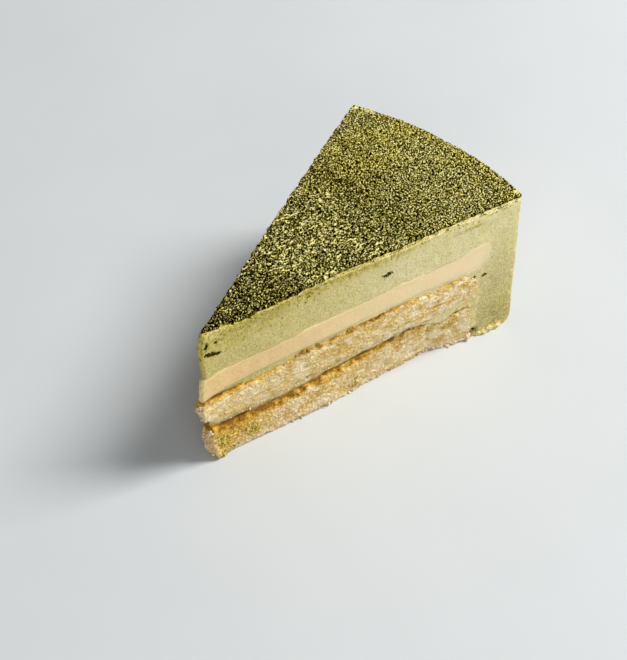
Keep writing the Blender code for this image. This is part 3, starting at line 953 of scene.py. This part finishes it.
def face_axes(side):
    """The directions along a cut face, up and out of it."""
    turn = side * HALF_ANGLE
    along = Vector((math.cos(turn), math.sin(turn), 0))
    up = Vector((0, 0, 1))
    return along, up, along.cross(up) * -side


def on_face(side, along, up, out):
    axes = face_axes(side)
    return Vector((TIP_X, 0, 0)) + axes[0] * along + axes[1] * up + axes[2] * out


def make_lumps(name, places, material, slot, fineness, roughness, **masks):
    """Rough lumps in one mesh. Each place is a middle, three axes and three half sizes."""
    ball = bmesh.new()
    bmesh.ops.create_icosphere(ball, subdivisions=fineness, radius=1)
    shape, faces = points_and_faces(ball)
    all_points, all_faces = [], []
    for number, (middle, axes, half_sizes) in enumerate(places):
        swell = 1 + roughness * ripple(shape, 0.9, 90 + number, 2)
        local = shape * swell[:, None] * half_sizes
        all_points.append(np.array(middle) + local @ np.array(axes))
        all_faces.append(np.array(faces) + number * len(shape))
    points = np.concatenate(all_points)
    points[:, 2] = np.maximum(points[:, 2], 0)
    mesh_piece(name, points, np.concatenate(all_faces), material, slot, **masks)


def make_specks(material):
    """Grains of dusting on the near face: in the darkest marks, below the top edge and on the ledge."""
    random = np.random.default_rng(3)
    draw = random.uniform
    spots = []
    for along, up, half_length, half_height, strength in SMUDGE_AND_SHADE_MARKS:
        for _ in range(round(SPECKS_PER_MARK * half_length * half_height * strength)):
            spots.append((random.normal(along, half_length / 2), random.normal(up, half_height / 2)))
    for _ in range(SPECKS_BELOW_TOP):
        near = random.random() < 0.65
        along = draw(1, THICKLY_STREWN) if near else draw(THICKLY_STREWN, 97)
        spots.append((along, TOP - 0.5 - random.exponential(2.2 if along < THICKLY_STREWN else 0.7)))
    spots = [(along, up, 0.08) for along, up in spots]
    for _ in range(SPECKS_ON_LEDGE):
        along = draw(4, 98.5)
        spots.append((along, TOP + 0.08, -random.exponential(0.5) - 0.05))
    places = []
    for along, up, out in spots:
        size = draw(0.07, 0.16) * (1.2 if out > 0 and along < THICKLY_STREWN else 1)
        half_sizes = size * draw(1, 1.6), size, size * 0.6
        sag = float(curve(along, SAG)) * (up > TOP)
        places.append((on_face(NEAR_FACE, along, up - sag, out), face_axes(NEAR_FACE), half_sizes))
    make_lumps("powder_specks", places, material, "dusting", 2, 0.5, grain=0.42, dark=0.3, yellow=0.6)


def random_tilt(random):
    return Matrix.Rotation(random.uniform(0, math.pi), 3, random.normal(size=3))


def make_crumbs(name, lines, material, **masks):
    """Loose crumb along the sponges' edges."""
    random = np.random.default_rng(len(name))
    draw = random.uniform
    places = []
    for start, end, count, line, least, most, usual in lines:
        for side in (NEAR_FACE, FAR_FACE):
            for _ in range(count):
                along = draw(start, end)
                size = usual * draw(0.6, 1.5)
                up = max(float(curve(along, line)) + draw(least, most), 0.5 * size)
                back = float(curve(along, DRAWN_BACK)) * 1.2 * (line is not UPPER_SPONGE.high)
                back *= 0.3 if line is UPPER_SPONGE.low else 1
                tilt = random_tilt(random)
                middle = on_face(side, along, up, draw(-0.4, 0.4) - back)
                places.append((middle, tilt, size * draw(0.5, 1.5, 3)))
    make_lumps(name, places, material, "sponge", 2, 0.9, **masks)


def make_tip_crumbs(material):
    """Loose crumb on the sponges' torn tips."""
    random = np.random.default_rng(21)
    draw = random.uniform
    places = []
    for layer, count in ((LOWER_SPONGE, 110), (UPPER_SPONGE, 70)):
        for _ in range(count):
            up = draw(layer.low[0][1] + 0.3, layer.high[0][1] - 0.6)
            size = draw(0.14, 0.42)
            back = -float(curve(up, layer.nose)) + draw(-0.35, 0.3)
            across = draw(-1, 1) * layer.tip_half_width
            middle = Vector((TIP_X + back + 0.25 * abs(across), across, max(up, 0.5 * size)))
            tilt = random_tilt(random)
            places.append((middle, tilt, size * draw(0.5, 1.4, 3)))
    make_lumps("tip_crumbs", places, material, "sponge", 2, 0.9, pale=0.6)


def make_foot_lumps(material):
    """Mousse that was squeezed out at the foot of the rim."""
    draw = np.random.default_rng(8).uniform
    places = []
    for side in (NEAR_FACE, FAR_FACE):
        for _ in range(34):
            along = draw(88.2, 95.5)
            size = draw(0.35, 0.85)
            middle = on_face(side, along, size * draw(0.7, 1.8), draw(-0.2, 0.35))
            half_sizes = size * draw(0.9, 1.6), size * 0.8, size * 0.8
            places.append((middle, face_axes(side), half_sizes))
    make_lumps("mousse_lumps", places, material, "mousse", 3, 0.45, pale=0.55)


# The stage

CAMERA_FROM_TIP = Vector((-185.3, -208.8, 336.8))
CAMERA_HEADING = math.radians(42.49)
CAMERA_PITCH = math.radians(46.075)
CAMERA_ROLL = math.radians(-1.137)
CAMERA_LENS = 86.4
KEY_BEHIND = math.radians(13)
FILL_ASIDE = math.radians(5)
ROOM_COLOUR = 0.93, 0.96, 1, 1
ROOM_STRENGTH = 0.24
FLOOR_REACH = 3  # in metres, like the lights


def make_floor():
    mesh = bpy.data.meshes.new("floor")
    around = (-1, -1), (1, -1), (1, 1), (-1, 1)
    mesh.from_pydata([(x * FLOOR_REACH, y * FLOOR_REACH, 0) for x, y in around], [], [(0, 1, 2, 3)])
    look = Shader("floor_look", 0.7)
    tone = look.noise(60)
    mesh.materials.append(look.finish(look.mix(tone, (191, 195, 197), (199, 203, 205)), look.noise(3), 0.01))
    floor = add_object("floor", mesh)


def make_camera():
    """The photograph's camera."""
    ahead = Vector((math.cos(CAMERA_HEADING), math.sin(CAMERA_HEADING), 0)) * math.cos(CAMERA_PITCH)
    ahead.z = -math.sin(CAMERA_PITCH)
    right = ahead.cross(Vector((0, 0, 1))).normalized()
    up = right.cross(ahead)
    cosine, sine = math.cos(CAMERA_ROLL), math.sin(CAMERA_ROLL)
    turned = Matrix((right * cosine + up * sine, up * cosine - right * sine, -ahead)).transposed().to_4x4()
    data = bpy.data.cameras.new("camera")
    data.lens = CAMERA_LENS
    data.clip_start = 0.01
    camera = add_object("camera", data)
    camera.matrix_world = Matrix.Translation((CAMERA_FROM_TIP + Vector((TIP_X, 0, 0))) * MM) @ turned
    bpy.context.scene.camera = camera


def softbox(name, heading, elevation, distance, size, power, colour):
    data = bpy.data.lights.new(name, "AREA")
    data.shape = "RECTANGLE"
    data.size, data.size_y = size
    data.energy = power
    data.color = colour
    light = add_object(name, data)
    level = distance * math.cos(elevation)
    light.location = level * math.cos(heading), level * math.sin(heading), distance * math.sin(elevation)
    light.rotation_euler = light.location.to_track_quat("Z", "Y").to_euler()


def make_lights():
    """A soft key from the right and a little behind, a weak fill from the camera's side, and a pale room."""
    softbox(
        "key", CAMERA_HEADING - math.pi / 2 + KEY_BEHIND, elevation=math.radians(50),
        distance=1.3, size=(0.42, 0.7), power=21.5, colour=(1, 0.985, 0.96),
    )
    softbox(
        "fill", CAMERA_HEADING + math.pi + FILL_ASIDE, elevation=math.radians(25),
        distance=1.5, size=(1.2, 0.8), power=7, colour=(1, 0.99, 0.96),
    )
    world = bpy.data.worlds.new("studio")
    world.use_nodes = True
    background = world.node_tree.nodes["Background"]
    background.inputs["Color"].default_value = ROOM_COLOUR
    background.inputs["Strength"].default_value = ROOM_STRENGTH
    bpy.context.scene.world = world
    bpy.context.scene.view_settings.view_transform = "Standard"


make_camera()
make_lights()
make_floor()
mousse_look = mousse_material()
sponge_look = sponge_material()
powder_look = powder_material()
make_mousse(mousse_look)
make_insert(cream_material())
make_upper_sponge(sponge_look)
make_lower_sponge(sponge_look)
make_powder(powder_look)
make_specks(powder_look)
make_crumbs("sponge_crumbs", PALE_LINES, sponge_look, pale=0.85)
make_crumbs("crust_crumbs", BROWN_LINES, sponge_look, crust=0.6, scorched=0.3)
make_tip_crumbs(sponge_look)
make_foot_lumps(mousse_look)
